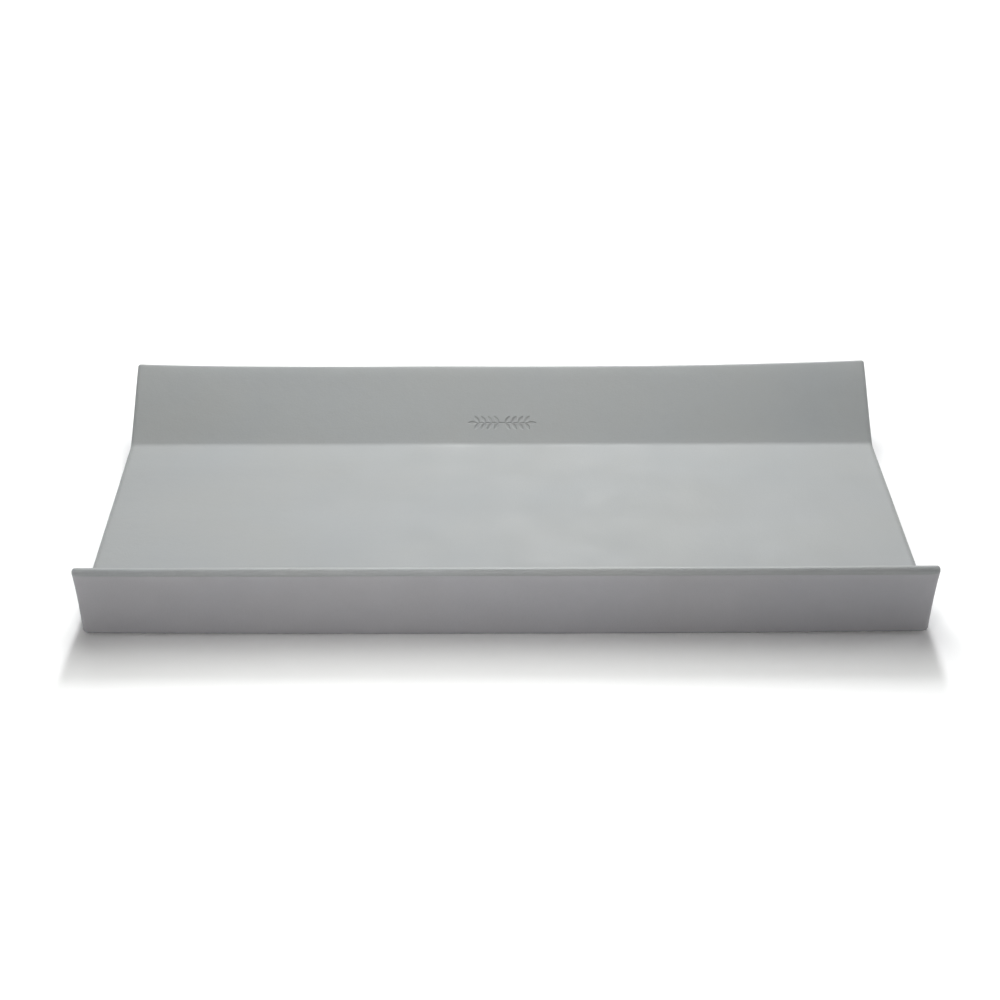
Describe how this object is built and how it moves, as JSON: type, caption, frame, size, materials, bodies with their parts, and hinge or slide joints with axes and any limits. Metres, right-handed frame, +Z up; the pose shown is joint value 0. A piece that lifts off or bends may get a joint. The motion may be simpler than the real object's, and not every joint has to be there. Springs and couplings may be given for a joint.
{
  "type": "changing pad",
  "caption": "Moulded baby changing pad: a long low trough with a flat floor, two sloping raised sides with rounded rims, open ends, foam filled, on round rubber grip pads.",
  "frame": {"origin": "centre of the footprint, on the surface that the pad stands on (the undersides of the grip pads)", "axes": "+X along the length, +Y across towards the side with the pressed-in sprig, +Z up"},
  "size_m": [0.7498, 0.45, 0.075],
  "materials": {
    "foam": "matte",
    "upper_skin": "matte",
    "lower_skin": "matte",
    "grip": "matte"
  },
  "bodies": {
    "root": {"foam_core": "foam", "upper_skin": "upper_skin", "lower_skin": "lower_skin", "grip_pad_front_left": "grip", "grip_pad_front_right": "grip", "grip_pad_rear_left": "grip", "grip_pad_rear_right": "grip"}
  },
  "joints": []
}
